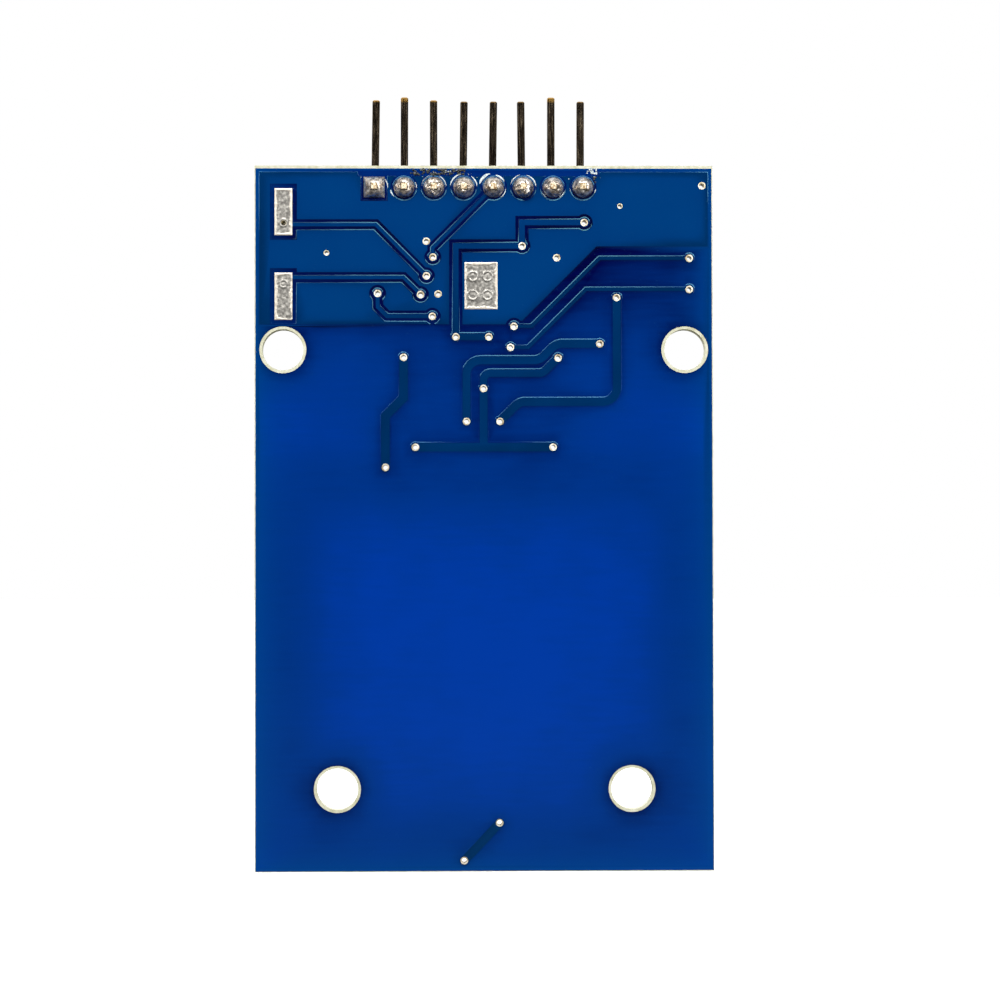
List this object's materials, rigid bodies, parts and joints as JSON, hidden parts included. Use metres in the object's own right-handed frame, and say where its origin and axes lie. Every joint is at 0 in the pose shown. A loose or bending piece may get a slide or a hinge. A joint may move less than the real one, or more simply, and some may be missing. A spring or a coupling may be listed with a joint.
{
  "type": "contactless card reader board",
  "caption": "Small blue circuit board with a printed antenna coil, a reader chip, four mounting holes and a right-angle row of square pins.",
  "frame": {"origin": "half way between the two mounting holes at the header end, on the laminate's rear (solder) face", "axes": "+X to the right when the solder side is looked at, +Y from the solder side to the component side, +Z along the board towards the header pins"},
  "size_m": [0.039, 0.0066, 0.0666],
  "materials": {
    "laminate": "cut glass-fibre laminate",
    "copper": "copper foil",
    "plating": "hot-air tinned",
    "solder_mask": "blue photo-cured lacquer",
    "legend": "white screen ink",
    "header_plastic": "moulded black plastic",
    "pin_metal": "tin-plated brass wire",
    "solder": "dull tin solder",
    "chip_resin": "moulded epoxy resin",
    "can_metal": "drawn nickel-plated can",
    "terminal_metal": "plated end caps",
    "gold_plating": "gold-plated end caps",
    "capacitor_ceramic": "fired ceramic",
    "resistor_glaze": "glazed",
    "inductor_ferrite": "pressed ferrite",
    "indicator_white": "moulded white plastic",
    "indicator_epoxy": "clear epoxy"
  },
  "bodies": {
    "root": {"laminate": "laminate", "rear_copper": "copper", "front_copper": "copper", "plated_holes": "plating", "rear_tinning": "plating", "rear_solder_mask": "solder_mask", "front_solder_mask": "solder_mask", "front_legend": "legend", "header_body": "header_plastic", "header_pin_1": "pin_metal", "header_pin_2": "pin_metal", "header_pin_3": "pin_metal", "header_pin_4": "pin_metal", "header_pin_5": "pin_metal", "header_pin_6": "pin_metal", "header_pin_7": "pin_metal", "header_pin_8": "pin_metal", "solder_joint_1": "solder", "solder_joint_2": "solder", "solder_joint_3": "solder", "solder_joint_4": "solder", "solder_joint_5": "solder", "solder_joint_6": "solder", "solder_joint_7": "solder", "solder_joint_8": "solder", "reader_chip_body": "chip_resin", "reader_chip_terminals": "terminal_metal", "crystal_can": "can_metal", "crystal_base": "header_plastic", "crystal_leads": "terminal_metal", "indicator_body": "indicator_white", "indicator_lens": "indicator_epoxy", "indicator_terminals": "gold_plating", "inductor_1": "inductor_ferrite", "inductor_2": "inductor_ferrite", "inductor_terminals": "terminal_metal", "capacitor_1": "capacitor_ceramic", "capacitor_2": "capacitor_ceramic", "capacitor_3": "capacitor_ceramic", "capacitor_4": "capacitor_ceramic", "capacitor_5": "capacitor_ceramic", "capacitor_6": "capacitor_ceramic", "capacitor_7": "capacitor_ceramic", "capacitor_8": "capacitor_ceramic", "capacitor_9": "capacitor_ceramic", "capacitor_10": "capacitor_ceramic", "capacitor_11": "capacitor_ceramic", "capacitor_12": "capacitor_ceramic", "resistor_1": "resistor_glaze", "resistor_2": "resistor_glaze", "resistor_3": "resistor_glaze", "resistor_4": "resistor_glaze", "chip_end_caps": "terminal_metal", "component_solder": "solder"}
  },
  "joints": []
}
